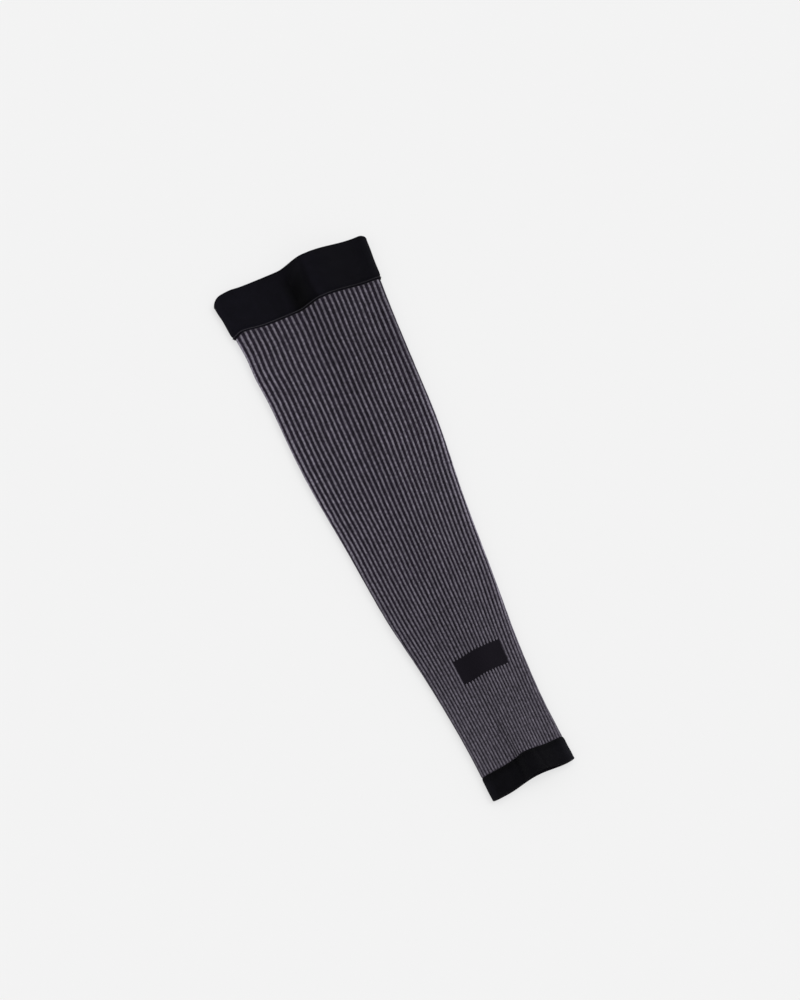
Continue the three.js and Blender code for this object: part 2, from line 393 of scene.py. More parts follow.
def corner_grid(ring_count, column_count):
    """Row and column of each face corner, counted past the wrap."""
    row, col = np.meshgrid(np.arange(ring_count), np.arange(column_count), indexing="ij")
    rows = np.stack([row, row + 1, row + 1, row], axis=-1).reshape(-1)
    cols = np.stack([col, col, col + 1, col + 1], axis=-1).reshape(-1)
    return rows, cols


def add_knit_map(mesh, knit_u, knit_v, ring_count, column_count):
    """Coordinates of the knit: wales or ribs round the ring, millimetres along it."""
    rows, cols = corner_grid(ring_count, column_count)
    u = np.append(knit_u, knit_u[0] + round(knit_u[-1] - knit_u[0]))[cols]
    v = np.append(knit_v, knit_v[0])[rows]
    layer = mesh.uv_layers.new(name="knit")
    layer.uv.foreach_set("vector", np.stack([u, v], axis=1).astype(np.float32).reshape(-1))


def add_bake_map(mesh, knit_v, outer_rows, ring_count, column_count):
    """A plain unrolled texture layout of the wall, with less room for its inside."""
    rows, cols = corner_grid(ring_count, column_count)
    steps = np.maximum(np.abs(np.diff(np.append(knit_v, knit_v[0]))), BAKE_LEAST_STEP)
    steps[outer_rows:] *= BAKE_INSIDE_SHARE
    heights = np.concatenate([[0.0], np.cumsum(steps)]) / steps.sum()
    u = BAKE_MARGIN + (1 - 2 * BAKE_MARGIN) * cols / column_count
    v = BAKE_MARGIN + (1 - 2 * BAKE_MARGIN) * heights[rows]
    layer = mesh.uv_layers.new(name="OFBake")
    layer.uv.foreach_set("vector", np.stack([u, v], axis=1).astype(np.float32).reshape(-1))


def add_fold_share(mesh, rings, knit_v):
    """How far round a side fold each point lies: 1 at its outermost line, below 0 on the flat layers."""
    shares = np.empty(rings.shape[:2])
    for row, along in enumerate(np.clip(knit_v, 0.0, SLEEVE_LENGTH)):
        from_centre = np.abs(rings[row, :, 0] / MM - x_shift - column("centre", along))
        shares[row] = (from_centre - column("half_width", along) + FOLD_REACH) / FOLD_REACH
    layer = mesh.attributes.new("fold", "FLOAT", "POINT")
    layer.data.foreach_set("value", np.minimum(shares, 1).astype(np.float32).reshape(-1))


def rib_relief(from_rib, half_rib):
    """Height of the rounded rib at a distance from its middle, in shares of the rib pitch."""
    return RIB_HEIGHT * np.sqrt(np.clip(1 - (from_rib / half_rib) ** 2, 0, 1))


def half_rib_at(along):
    """Half the width of a rib at a distance along, in shares of the pitch."""
    return float(np.interp(along, HALF_RIB_ALONG, HALF_RIB_SHARES))


def tip_height(from_tip):
    """Share of a rib's height near its end, where it rounds off."""
    return np.sqrt(1 - (1 - np.clip(from_tip / RIB_TIP_LENGTH, 0, 1)) ** 2)


def body_rows(low, high):
    """Distances along for the body's rings, closer together where the ribs end."""
    places = [np.linspace(low, high, BODY_ROWS)]
    for spot in (low, high, *BLOCK_ALONG):
        places.append(np.linspace(spot - BODY_FINE_REACH, spot + BODY_FINE_REACH, BODY_FINE_ROWS))
    places = np.unique(np.concatenate(places).round(2))
    return places[(places > low) & (places < high)]


def upper_shares(along, sides, proud=0.0):
    """Places on the upper layer, given by their distance across, in shares of the way round."""
    x, z = section_outline(along, 0.0, proud)
    lengths = outline_lengths(x, z)
    upper = slice(sum(OUTLINE_STEPS[:2]), sum(OUTLINE_STEPS[:3]))
    return np.interp(-np.asarray(sides), -x[upper], lengths[upper]) / lengths[-1]


def block_ribs():
    """First and last rib coordinate of the knitted-in block, from its two sides."""
    ribs = np.round(upper_shares(sum(BLOCK_ALONG) / 2, BLOCK_SIDES) * RIB_COUNT)
    return float(ribs.min()), float(ribs.max())


def stripe_wales():
    """First and last wale of the band's painted shade stripe."""
    along = BAND_LOW + BAND_DEPTH / 2
    flat = column("half_width", along) + BAND_PROUD - FOLD_REACH
    from_crest = np.array(STRIPE_FROM_CREST)
    sides = column("centre", along) + (column("crest_at", along) + from_crest) * flat
    wales = upper_shares(along, sides, BAND_PROUD) * BAND_WALES_ROUND
    return float(wales.min()), float(wales.max())


def make_body(materials):
    """The ribbed tube between the cuff and the band."""
    low = CUFF_DEPTH + PIECE_GAP / 2
    high = BAND_LOW - PIECE_GAP / 2
    places = np.array(RIB_COLUMN_PLACES)
    rib_coordinate = (np.arange(RIB_COUNT)[:, None] + 0.5 + places[None, :]).reshape(-1)
    from_rib = np.abs(np.tile(places, RIB_COUNT))
    block_first, block_last = block_ribs()
    in_block = (rib_coordinate > block_first) & (rib_coordinate < block_last)
    rows = np.concatenate([[low], body_rows(low, high), [high]])
    rings, heights = [], []
    for along in rows:
        lengthwise = np.full_like(rib_coordinate, along / WANDER_LENGTH)
        spot = np.stack([rib_coordinate / WANDER_RIBS, lengthwise], axis=1)
        wander = RIB_WANDER * smooth_noise(spot, seed=3)
        shares = (rib_coordinate + wander) / RIB_COUNT
        swell = 1 + RIB_SWELL * smooth_noise(spot * SWELL_FINENESS, seed=5)
        relief = rib_relief(from_rib, half_rib_at(along)) * swell
        from_end = min(along - low, high - along)
        from_block = max(BLOCK_ALONG[0] - along, along - BLOCK_ALONG[1])
        block_relief = BLOCK_LEVEL + (relief - BLOCK_LEVEL) * tip_height(from_block)
        relief = np.where(in_block, block_relief, relief)
        relief = np.minimum(relief, RIB_HEIGHT) * tip_height(from_end)
        rings.append(ring(along, shares, relief=relief - RIB_HEIGHT))
        heights.append(along)
    outer_rows = len(rings) - 1
    shares = rib_coordinate / RIB_COUNT
    for along in np.linspace(high, low, BODY_INNER_ROWS):
        rings.append(ring(along, shares, inset=BODY_WALL))
        heights.append(along)
    heights = np.array(heights)
    return wall_mesh("ribbed_sleeve", np.array(rings), rib_coordinate, heights, outer_rows, materials)


def band_relief(above):
    """Inward step of the band's face at a height above its lower edge: border, seam ridge, soft welt."""
    above_seam = above - SEAM_ABOVE_EDGE
    ridge = RIDGE_HEIGHT * math.exp(-((above_seam / RIDGE_WIDTH) ** 2))
    welt = BORDER_DEPTH / (1 + math.exp(-(above_seam - WELT_ABOVE_SEAM) / WELT_SOFTNESS))
    return ridge + welt - BORDER_DEPTH


def soft_dents(along, shares, waves_round, wave_length, depth, base, seed):
    """Inward depth of the smooth knit's shallow dents."""
    turn = 2 * np.pi * shares
    lengthwise = np.full_like(shares, along / wave_length)
    spot = np.stack([waves_round * np.cos(turn), waves_round * np.sin(turn), lengthwise], axis=1)
    return np.minimum(depth * smooth_noise(spot, seed) - base, 0.0)


def lip_rings(along, shares, wall, proud, edge, upward):
    """Rings over a rounded free edge, from the outer face to the inner one."""
    made, heights = [], []
    for angle in np.linspace(0, math.pi, LIP_STEPS):
        inset = wall / 2 * (1 - math.cos(angle))
        reach = wall / 2 * math.sin(angle) * upward
        made.append(ring(along + reach, shares, inset=inset, proud=proud, edge=edge))
        heights.append(along + reach)
    return made, heights


def make_band(materials):
    """The smooth band round the thigh end, over its rounded mouth and down inside."""
    shares = np.arange(BAND_COLUMNS) / BAND_COLUMNS
    low = BAND_LOW + PIECE_GAP / 2
    high = SLEEVE_LENGTH - BAND_WALL / 2
    fine_high = low + BAND_FINE_DEPTH
    fine = np.linspace(low, fine_high, BAND_FINE_ROWS)
    plain = np.linspace(fine_high + BAND_PLAIN_GAP, high - BAND_LIP_GAP, BAND_PLAIN_ROWS)
    rings, heights = [], []
    for along in np.concatenate([fine, plain]):
        relief = band_relief(along - BAND_LOW) + soft_dents(along, shares, *BAND_DENTS)
        rings.append(ring(along, shares, relief=relief, proud=BAND_PROUD, edge=mouth_edge))
        heights.append(along)
    lip, lip_heights = lip_rings(high, shares, BAND_WALL, BAND_PROUD, mouth_edge, 1.0)
    rings += lip
    heights += lip_heights
    outer_rows = len(rings) - 1
    for along in np.linspace(high - BAND_INNER_LIP_GAP, low, BAND_INNER_ROWS):
        rings.append(ring(along, shares, inset=BAND_WALL, proud=BAND_PROUD, edge=mouth_edge))
        heights.append(along)
    wales = shares * BAND_WALES_ROUND
    return wall_mesh("turned_band", np.array(rings), wales, np.array(heights), outer_rows, materials)


def cuff_creases(along, shares):
    """Inward depth of the shallow creases that run from the cuff's seam towards its end."""
    depth = np.zeros_like(shares)
    for place, lean, deep, wide in CUFF_CREASES:
        middle = place + lean * (along - CUFF_DEPTH / 2) / CUFF_DEPTH
        away = (shares - middle + 0.5) % 1.0 - 0.5
        depth = depth - deep * np.exp(-((away / wide) ** 2))
    return depth * math.sqrt(np.clip(along / CUFF_DEPTH, 0, 1))


def make_cuff(materials):
    """The smooth cuff round the ankle end, from inside its rounded edge up to its seam."""
    shares = np.arange(CUFF_COLUMNS) / CUFF_COLUMNS
    low = CUFF_WALL / 2
    high = CUFF_DEPTH - PIECE_GAP / 2
    rings, heights = lip_rings(low, shares, CUFF_WALL, CUFF_PROUD, ankle_edge, -1.0)
    rings.reverse()
    heights.reverse()
    for along in np.linspace(low + CUFF_LIP_GAP, high, CUFF_ROWS):
        edge_step = -CUFF_STEP_DEPTH * math.exp(-(((high - along) / CUFF_STEP_WIDTH) ** 2))
        relief = soft_dents(along, shares, *CUFF_DENTS) + edge_step + cuff_creases(along, shares)
        rings.append(ring(along, shares, relief=relief, proud=CUFF_PROUD, edge=ankle_edge))
        heights.append(along)
    outer_rows = len(rings) - 1
    for along in np.linspace(high, low + CUFF_LIP_GAP, CUFF_INNER_ROWS):
        rings.append(ring(along, shares, inset=CUFF_WALL, proud=CUFF_PROUD, edge=ankle_edge))
        heights.append(along)
    wales = shares * CUFF_WALES_ROUND
    return wall_mesh("smooth_cuff", np.array(rings), wales, np.array(heights), outer_rows, materials)


def stitch_form():
    """Points of one stitch on a unit ball, pole to pole, and the quads between them."""
    polar = np.linspace(0, np.pi, STITCH_STEPS + 1)
    turn = np.arange(STITCH_SIDES) / STITCH_SIDES * 2 * np.pi
    points = np.array([
        (math.cos(p), math.sin(p) * math.cos(t), math.sin(p) * math.sin(t)) for p in polar for t in turn
    ])
    quads = []
    for low in range(0, STITCH_STEPS * STITCH_SIDES, STITCH_SIDES):
        high = low + STITCH_SIDES
        for side in range(STITCH_SIDES):
            after = (side + 1) % STITCH_SIDES
            quads.append((low + side, low + after, high + after, high + side))
    return points, quads


def make_seam(material):
    """Small raised stitches in a line round the band, just above its lower edge."""
    along = BAND_LOW + SEAM_ABOVE_EDGE
    count = int(ring_length(along, BAND_PROUD) / STITCH_SPACING)
    unit, quads = stitch_form()
    half_sizes = np.array(STITCH_HALF_SIZES)[:, None]
    points, faces = [], []
    random = np.random.default_rng(23)
    for stitch in range(count):
        spread = (stitch + np.array(STITCH_ENDS_AND_MIDDLE)) / count
        before, here, after = ring(along, spread, relief=-STITCH_SINK, proud=BAND_PROUD)
        forward = (after - before) / np.linalg.norm(after - before)
        side_way = np.array([0.0, 1.0, 0.0])
        outward = np.cross(side_way, forward)
        outward = outward / np.linalg.norm(outward)
        side_way = np.cross(forward, outward)
        lean = STITCH_LEAN + random.uniform(-STITCH_LEAN_SPREAD, STITCH_LEAN_SPREAD)
        lengthwise = forward * math.cos(lean) + side_way * math.sin(lean)
        sideways = side_way * math.cos(lean) - forward * math.sin(lean)
        axes = np.stack([lengthwise, sideways, outward]) * half_sizes * MM
        base = stitch * len(unit)
        points.append(here + unit @ axes)
        faces.extend(tuple(base + corner for corner in quad) for quad in quads)
    mesh = bpy.data.meshes.new("band_seam")
    mesh.from_pydata(np.concatenate(points).tolist(), [], faces)
    mesh.polygons.foreach_set("use_smooth", np.ones(len(mesh.polygons), dtype=bool))
    mesh.materials.append(material)
    piece = bpy.data.objects.new("band_seam", mesh)
    bpy.context.collection.objects.link(piece)
    return piece


# Materials

# Colours of the yarns
GREY_YARN = (0.1478, 0.1358, 0.1653)
BLACK_GROUND = (0.0147, 0.0113, 0.0191)
BLOCK_BLACK = (0.0066, 0.0052, 0.0086)
REVERSE_BLACK = (0.012, 0.0108, 0.0145)
REVERSE_GREY = (0.085, 0.080, 0.094)
BAND_BLACK = (0.0039, 0.0036, 0.0061)
CUFF_BLACK = (0.0031, 0.0030, 0.0042)
# The insides' black is painted about three times lighter than the cuff's, as painted light in their shade
INSIDE_BLACK_PAINTED_LIGHTER = (0.0110, 0.0105, 0.0140)
SEAM_BLACK = (0.026, 0.0242, 0.030)
SHEEN_ROUGHNESS = 0.45

# How steeply the legs of the stitches slant
RIB_LEG_SLANT = 2.6
GROUND_LEG_SLANT = 3.4
FLOAT_SLANT = 0.5
SMOOTH_LEG_SLANT = 1.3

# Scales of the noises across and along the knit, and the step that gives each rib a noise of its own
SWAY_SCALES = (0.8, 0.10)
FLECK_SCALES = (1.7, 0.45)
STREAK_SCALES = (1.3, 0.11)
FIBRE_SCALES = (6.4, 1.9)
BROAD_SCALES = (0.2, 0.02)
REVERSE_SCALES = (1.5, 0.6)
CLOUD_SCALES = (0.16, 0.11)
SMOOTH_FIBRE_SCALES = (1.3, 1.3)
FINE_DETAIL = 3.0
OWN_RIB_STEP = 5.0

# How strongly the noises and the broad tones vary each colour
GREY_STREAKS = 0.15
GREY_BROAD = 0.28
GREY_FLECKS = 0.34
GREY_FIBRES = 0.20
# GREY_THIGH and GROUND_THIGH: depth of the painted shade on the thigh's right half
GREY_THIGH = 0.11
GROUND_STREAKS = 0.25
GROUND_FLECKS = 0.50
GROUND_THIGH = 0.20
BLOCK_FIBRES = 0.3
SMOOTH_CLOUDS = 0.8
SMOOTH_FIBRES = 0.2
THREAD_PATCHES = 0.5
PATCH_SPAN = (0.3, 0.7)

# Factor and base of what follows a noise or the legs of the stitches; the legs' colour factors paint shade
# into the gaps between the legs
RIB_SWAY = (0.14, -0.07)
RIB_NOTCHES = (0.035, -0.018)
GREY_LEGS = (0.40, 0.72)
GROUND_LEGS = (0.7, 0.6)
RIB_ROUGHNESS = (0.16, 0.78)
FLOAT_SHARE = (0.5, 0.2)
SMOOTH_LEGS = (1.0, 0.5)
SMOOTH_ROUGHNESS = (0.2, 0.66)
THREAD_TWIST = (0.8, 0.6)

# Strength of each bump and its height in metres, and the level of the ground's stitches
RIB_BUMP = (0.6, 0.00022)
REVERSE_BUMP = (0.5, 0.0002)
SMOOTH_BUMP = (0.9, 0.00025)
THREAD_BUMP = (0.4, 0.0001)
GROUND_BUMP_LEVEL = 0.7

# Fades along the sleeve: from and to in millimetres, then the value at each
RIB_WIDTH_FADE = (345.0, 40.0, 0.188, 0.251)
GREY_FADE = (340.0, 60.0, 1.0, 0.80)
CROWDED_FADE = (170.0, 40.0, 0.0, 0.085)
# The next three: painted light on the side folds, on the left by the thigh and on the right by the calf
LEFT_FOLD_LIGHT_FADE = (180.0, 340.0, 0.0, 0.52)
RIGHT_FOLD_LIGHT_START = (40.0, 180.0, 0.0, 0.62)
RIGHT_FOLD_LIGHT_END = (420.0, 320.0, 0.1, 1.0)
# Where the painted shade on the thigh's right half comes in along the sleeve
THIGH_FADE = (320.0, 450.0)

# Fades across the ribs: from and to in ribs for the two edges of the painted thigh shade, and the rib from
# which the left fold counts
THIGH_LEFT_FADE = (47.0, 40.0)
THIGH_RIGHT_FADE = (22.0, 27.0)
LEFT_FOLD_FROM = 42.0

# Fades from the middle of a rib or wale, in shares of the pitch
RIB_EDGE_SOFT = 0.075
REVERSE_RIB_FADE = (0.30, 0.16)
WALE_HOLLOW_FADE = (0.36, 0.5, 1.0, 0.35)
WALE_MIDDLE_FADE = (0.0, 0.10, 0.55, 1.0)

# Fades round the side folds, in shares of the fold, and how much painted light makes the folds paler
FOLD_WIDTH_FADE = (0.1, 0.7, 0.0, 0.03)
PLAIN_FOLD_LIGHT_SPAN = (0.1, 0.8)
RIB_FOLD_LIGHT_SPAN = (0.3, 0.9)
INNER_FOLD_LIGHT_SPAN = (-1.6, 0.1)
INNER_FOLD_LIGHT_SHARE = 0.22
GROUND_FOLD_LIGHT = 0.3
BAND_FOLD_LIGHT = 0.2
CUFF_FOLD_LIGHT = 0.8
INSIDE_FOLD_LIGHT = 0.2

# Rounded tips of the grey ribs: their curve, their distance to the seams and their reach into the block
TIP_CURVE = 14.0
TIP_SEAM_GAP = 0.2
TIP_BLOCK_REACH = 1.0

# The band's painted shade stripe: fades in wales from its first or last one, or in millimetres from the
# mouth
STRIPE_SHADE = 0.18
STRIPE_FOOT = (11.0, -2.0)
STRIPE_SHOULDER = (-2.5, 2.0)
STRIPE_SLOPE_ENDS = (2.0, -3.0)
STRIPE_SLOPE_SHADES = (0.45, 1.0)
STRIPE_LENGTHWISE = (-2.0, -30.0, 0.2, 1.0)
# Painted shade over the band's right side, and painted light over its left side
STRIPE_RIGHT_SIDE = (-40.0, -5.0, 0.80, 1.0)
STRIPE_LEFT_SIDE = (12.0, 42.0, 1.0, 1.22)
# A painted highlight just right of the stripe
GLEAM_START = (-14.0, -6.0)
GLEAM_END = (1.0, -4.0)
GLEAM_STRENGTH = 0.2

# Painted shade and light of the cuff: a darker fade in millimetres from its seam, and a lighter one in
# shares of the way round it towards its right fold
CUFF_SEAM_FADE = (-9.0, -0.5, 1.12, 0.6)
CUFF_RIGHT_SHARES = (0.54, 0.48)
CUFF_RIGHT_SHADES = (1.0, 1.4)

# Scales of the seam thread's twist and patches
TWIST_SCALE = 900.0
PATCH_SCALE = 28.0


class Shader:
    """A short way to lay out the nodes of one material."""

    def __init__(self, name):
        self.material = bpy.data.materials.new(name)
        self.material.use_nodes = True
        self.tree = self.material.node_tree
        self.principled = self.tree.nodes["Principled BSDF"]

    def link(self, value, socket):
        """Links a socket's value, or sets a plain one."""
        if isinstance(value, bpy.types.NodeSocket):
            self.tree.links.new(value, socket)
        else:
            socket.default_value = value

    def math(self, operation, first, second=0.0, third=0.0):
        """Result of one operation."""
        node = self.tree.nodes.new("ShaderNodeMath")
        node.operation = operation
        for socket, value in zip(node.inputs, (first, second, third)):
            self.link(value, socket)
        return node.outputs[0]

    def product(self, first, *others):
        """Product of several factors."""
        for other in others:
            first = self.math("MULTIPLY", first, other)
        return first

    def ramp(self, value, low, high, to_low=0.0, to_high=1.0):
        """Smooth step of a value from one range to another."""
        node = self.tree.nodes.new("ShaderNodeMapRange")
        node.interpolation_type = "SMOOTHSTEP"
        for socket, given in zip(node.inputs, (value, low, high, to_low, to_high)):
            self.link(given, socket)
        return node.outputs[0]

    def fade_from(self, edge, value, start, end, *values):
        """Smooth step whose start and end are counted from an edge."""
        return self.ramp(value, edge + start, edge + end, *values)

    def mix(self, share, first, second):
        """Blend of two colours."""
        node = self.tree.nodes.new("ShaderNodeMix")
        node.data_type = "RGBA"
        self.link(share, node.inputs[0])
        self.link(first, node.inputs[6])
        self.link(second, node.inputs[7])
        return node.outputs[2]

    def scale(self, colour, factor):
        """A colour times a factor."""
        node = self.tree.nodes.new("ShaderNodeVectorMath")
        node.operation = "SCALE"
        self.link(colour, node.inputs[0])
        self.link(factor, node.inputs[3])
        return node.outputs[0]

    def vector(self, x, y, z=0.0):
        """A vector from its three parts."""
        node = self.tree.nodes.new("ShaderNodeCombineXYZ")
        for socket, value in zip(node.inputs, (x, y, z)):
            self.link(value, socket)
        return node.outputs[0]

    def noise(self, vector, scale, detail=2.0):
        """Soft noise of 0 to 1 at a place."""
        node = self.tree.nodes.new("ShaderNodeTexNoise")
        self.link(vector, node.inputs["Vector"])
        self.link(scale, node.inputs["Scale"])
        self.link(detail, node.inputs["Detail"])
        return node.outputs[0]

    def knit_noise(self, across, along, scales, detail=2.0):
        """Noise laid out on the knit, with a scale of its own across and along."""
        scaled_across = self.math("MULTIPLY", across, scales[0])
        scaled_along = self.math("MULTIPLY", along, scales[1])
        return self.noise(self.vector(scaled_across, scaled_along), 1.0, detail)

    def knit_place(self):
        """The wale or rib coordinate and the distance along, from the mesh's knit map."""
        node = self.tree.nodes.new("ShaderNodeUVMap")
        node.uv_map = "knit"
        split = self.tree.nodes.new("ShaderNodeSeparateXYZ")
        self.tree.links.new(node.outputs[0], split.inputs[0])
        return split.outputs[0], split.outputs[1]

    def object_place(self):
        """The point's own place in the object."""
        return self.tree.nodes.new("ShaderNodeTexCoord").outputs["Object"]

    def fold_share(self):
        """How far round a side fold the point lies, from the mesh."""
        node = self.tree.nodes.new("ShaderNodeAttribute")
        node.attribute_name = "fold"
        return node.outputs["Fac"]

    def bump(self, height, strength, distance):
        """Lets a height bend the surface's normal."""
        node = self.tree.nodes.new("ShaderNodeBump")
        self.link(strength, node.inputs["Strength"])
        self.link(distance, node.inputs["Distance"])
        self.link(height, node.inputs["Height"])
        self.tree.links.new(node.outputs[0], self.principled.inputs["Normal"])

    def finish(self, colour, roughness, sheen, specular):
        """Sets the surface's own values and gives the material."""
        self.link(colour, self.principled.inputs["Base Color"])
        self.link(roughness, self.principled.inputs["Roughness"])
        self.principled.inputs["Sheen Weight"].default_value = sheen
        self.principled.inputs["Sheen Roughness"].default_value = SHEEN_ROUGHNESS
        self.principled.inputs["Specular IOR Level"].default_value = specular
        return self.material


def from_middle(shader, coordinate):
    """Distance from the middle of the rib or wale, in shares of the pitch."""
    return shader.math("ABSOLUTE", shader.math("SUBTRACT", shader.math("FRACT", coordinate), 0.5))


def stitch_legs(shader, off_middle, course, slant):
    """Rounded legs of V stitches: 1 on the yarn, 0 between one course and the next."""
    slanted = shader.math("MULTIPLY_ADD", off_middle, slant, course)
    phase = shader.math("FRACT", slanted)
    centred = shader.math("MULTIPLY_ADD", phase, 2.0, -1.0)
    return shader.math("MULTIPLY_ADD", shader.product(centred, centred), -1.0, 1.0)


def even_about_one(shader, noise, amount):
    """Turns a noise of 0 to 1 into a factor that varies about 1."""
    return shader.math("MULTIPLY_ADD", noise, amount, 1.0 - amount / 2)


def patchy(shader, noise, amount):
    """A factor that varies about 1 in clear patches."""
    return shader.ramp(noise, *PATCH_SPAN, 1.0 - amount, 1.0 + amount)


def between(shader, value, low, high):
    """1 where a value lies between two others, 0 elsewhere."""
    return shader.product(shader.math("GREATER_THAN", value, low), shader.math("LESS_THAN", value, high))


def painted_fold_light(shader, amount, span=PLAIN_FOLD_LIGHT_SPAN):
    """A factor that grows above 1 on the side folds: painted light that makes the knit paler there."""
    return shader.ramp(shader.fold_share(), *span, 1.0, shader.math("ADD", amount, 1.0))


def rib_fold_light(shader, rib, along):
    """How much painted light pales the ribs on the side folds: by the thigh on the left, by the calf on the
    right.
    """
    left = shader.ramp(along, *LEFT_FOLD_LIGHT_FADE)
    right = shader.product(shader.ramp(along, *RIGHT_FOLD_LIGHT_START), shader.ramp(along, *RIGHT_FOLD_LIGHT_END))
    on_left = shader.math("GREATER_THAN", rib, LEFT_FOLD_FROM)
    return shader.math("MULTIPLY_ADD", on_left, shader.math("SUBTRACT", left, right), right)


def painted_thigh_shade(shader, rib, along, amount):
    """A broad painted shade, darker on the right half of the upper layer towards the band."""
    right_half = shader.product(shader.ramp(rib, *THIGH_LEFT_FADE), shader.ramp(rib, *THIGH_RIGHT_FADE))
    dark = shader.product(right_half, shader.ramp(along, *THIGH_FADE))
    return shader.math("MULTIPLY_ADD", dark, -amount, 1.0)


def rib_knit():
    """Grey raised ribs of V stitches over a black ground, with the bare dark block."""
    shader = Shader("rib_knit")
    rib, along = shader.knit_place()
    sway = shader.knit_noise(rib, along, SWAY_SCALES)
    swayed = shader.math("ADD", rib, shader.math("MULTIPLY_ADD", sway, *RIB_SWAY))
    course = shader.math("DIVIDE", along, COURSE_HEIGHT)
    from_rib = from_middle(shader, swayed)
    from_groove = shader.math("SUBTRACT", 0.5, from_rib)
    rib_legs = stitch_legs(shader, from_rib, course, RIB_LEG_SLANT)
    ground_legs = stitch_legs(shader, from_groove, course, GROUND_LEG_SLANT)

    # The ribs widen towards the ankle and round the side folds, with edges notched by the stitches
    half_rib = shader.ramp(along, *RIB_WIDTH_FADE)
    half_rib = shader.math("ADD", half_rib, shader.ramp(shader.fold_share(), *FOLD_WIDTH_FADE))
    edge = shader.math("ADD", half_rib, shader.math("MULTIPLY_ADD", rib_legs, *RIB_NOTCHES))
    outside = shader.math("ADD", edge, RIB_EDGE_SOFT)
    inside = shader.math("SUBTRACT", edge, RIB_EDGE_SOFT)
    on_rib = shader.ramp(from_rib, outside, inside)

    # Rounded rib tips at the band, at the cuff and round the block
    tip = shader.product(from_rib, from_rib, TIP_CURVE)
    first, last = block_ribs()
    block_low = shader.math("SUBTRACT", BLOCK_ALONG[0] + TIP_BLOCK_REACH, tip)
    block_high = shader.math("ADD", tip, BLOCK_ALONG[1] - TIP_BLOCK_REACH)
    across_block = between(shader, rib, first, last)
    in_block = shader.product(across_block, between(shader, along, block_low, block_high))
    lower_end = shader.math("ADD", tip, CUFF_DEPTH + TIP_SEAM_GAP)
    upper_end = shader.math("SUBTRACT", BAND_LOW - TIP_SEAM_GAP, tip)
    shown = between(shader, along, lower_end, upper_end)
    grey_share = shader.product(on_rib, shown, shader.math("SUBTRACT", 1.0, in_block))

    # Uneven yarn, each rib with its own: flecks of a stitch or two, fibres and broad wear, with painted
    # shade between the stitch legs and over the thigh's right half, and painted light on the side folds
    own_rib = shader.math("MULTIPLY_ADD", shader.math("FLOOR", rib), OWN_RIB_STEP, rib)
    fleck = shader.knit_noise(own_rib, along, FLECK_SCALES)
    streak = shader.knit_noise(own_rib, along, STREAK_SCALES)
    fibre = shader.knit_noise(own_rib, along, FIBRE_SCALES)
    broad = shader.knit_noise(rib, along, BROAD_SCALES)
    lightening = rib_fold_light(shader, rib, along)
    grey_shade = shader.product(
        patchy(shader, streak, GREY_STREAKS),
        even_about_one(shader, broad, GREY_BROAD),
        painted_thigh_shade(shader, rib, along, GREY_THIGH),
        patchy(shader, fleck, GREY_FLECKS),
        patchy(shader, fibre, GREY_FIBRES),
        shader.math("MULTIPLY_ADD", rib_legs, *GREY_LEGS),
        shader.ramp(along, *GREY_FADE),
        painted_fold_light(shader, lightening, RIB_FOLD_LIGHT_SPAN),
        painted_fold_light(shader, shader.product(lightening, INNER_FOLD_LIGHT_SHARE), INNER_FOLD_LIGHT_SPAN),
    )
    ground_shade = shader.product(
        patchy(shader, streak, GROUND_STREAKS),
        patchy(shader, fleck, GROUND_FLECKS),
        shader.math("MULTIPLY_ADD", ground_legs, *GROUND_LEGS),
        painted_fold_light(shader, GROUND_FOLD_LIGHT),
        painted_thigh_shade(shader, rib, along, GROUND_THIGH),
    )

    # Near the ankle the crowded ribs show some of their yarn in the grooves
    crowded = shader.ramp(along, *CROWDED_FADE)
    ground = shader.scale(shader.mix(crowded, (*BLACK_GROUND, 1.0), (*GREY_YARN, 1.0)), ground_shade)
    ground = shader.mix(in_block, ground, shader.scale(BLOCK_BLACK, patchy(shader, fibre, BLOCK_FIBRES)))
    colour = shader.mix(grey_share, ground, shader.scale(GREY_YARN, grey_shade))

    on_ground = shader.math("SUBTRACT", GROUND_BUMP_LEVEL, on_rib)
    height = shader.math("ADD", shader.product(rib_legs, on_rib), shader.product(ground_legs, on_ground))
    shader.bump(height, *RIB_BUMP)
    roughness = shader.math("MULTIPLY_ADD", fibre, *RIB_ROUGHNESS)
    return shader.finish(colour, roughness, sheen=0.09, specular=0.06)


def rib_knit_reverse():
    """Inside of the body: dark knit with faint rib lines and the floats that cross behind them."""
    shader = Shader("rib_knit_reverse")
    rib, along = shader.knit_place()
    from_rib = from_middle(shader, rib)
    course = shader.math("DIVIDE", along, COURSE_HEIGHT)
    floats = stitch_legs(shader, from_rib, course, FLOAT_SLANT)
    on_rib = shader.ramp(from_rib, *REVERSE_RIB_FADE)
    noise = shader.knit_noise(rib, along, REVERSE_SCALES, FINE_DETAIL)
    share = shader.product(on_rib, floats, shader.math("MULTIPLY_ADD", noise, *FLOAT_SHARE))
    colour = shader.mix(share, (*REVERSE_BLACK, 1.0), (*REVERSE_GREY, 1.0))
    shader.bump(floats, *REVERSE_BUMP)
    return shader.finish(colour, roughness=0.9, sheen=0.04, specular=0.08)


